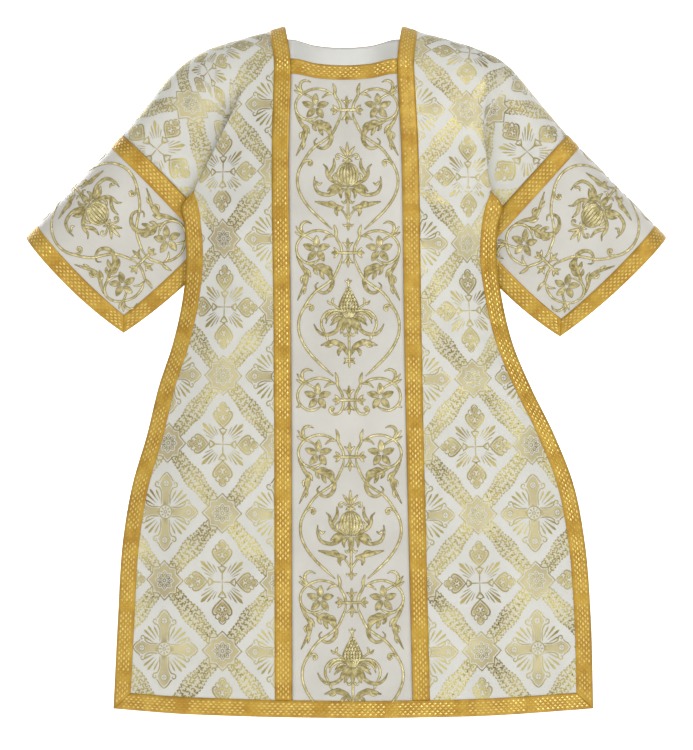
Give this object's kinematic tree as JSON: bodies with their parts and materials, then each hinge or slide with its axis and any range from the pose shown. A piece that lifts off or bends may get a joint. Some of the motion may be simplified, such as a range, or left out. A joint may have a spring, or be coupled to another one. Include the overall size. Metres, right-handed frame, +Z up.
{
  "type": "dalmatic",
  "caption": "Knee-length wide-sleeved vestment of floral brocade with embroidered satin centre and sleeve panels, edged in gold galloon, in its hollow worn form.",
  "frame": {"origin": "midway between the two neck points of the shoulders, on the shoulder ridge, where a wearer holds the garment up", "axes": "+Z up, the front faces -Y, the wearer's left sleeve points towards +X"},
  "size_m": [0.995, 0.2555, 1.0593],
  "materials": {
    "brocade": "white figured brocade with pale gold weft pattern, soft sheen",
    "satin": "ivory satin with gold satin-stitch embroidery",
    "galloon": "golden yellow metallic braid with lozenge net",
    "lining": "plain pale satin lining"
  },
  "bodies": {
    "root": {"front_centre_panel": "satin", "back_centre_panel": "satin", "neck_lining": "lining", "front_neck_galloon": "galloon", "back_neck_galloon": "galloon", "long_galloon_left": "galloon", "sleeve_panel_left": "satin", "arm_galloon_left": "galloon", "cuff_galloon_left": "galloon", "long_galloon_right": "galloon", "sleeve_panel_right": "satin", "arm_galloon_right": "galloon", "cuff_galloon_right": "galloon", "front_hem_galloon": "galloon", "front_side_panel_left": "brocade", "front_side_galloon_left": "galloon", "front_underarm_galloon_left": "galloon", "front_side_panel_right": "brocade", "front_side_galloon_right": "galloon", "front_underarm_galloon_right": "galloon", "back_hem_galloon": "galloon", "back_side_panel_left": "brocade", "back_side_galloon_left": "galloon", "back_underarm_galloon_left": "galloon", "back_side_panel_right": "brocade", "back_side_galloon_right": "galloon", "back_underarm_galloon_right": "galloon"}
  },
  "joints": []
}
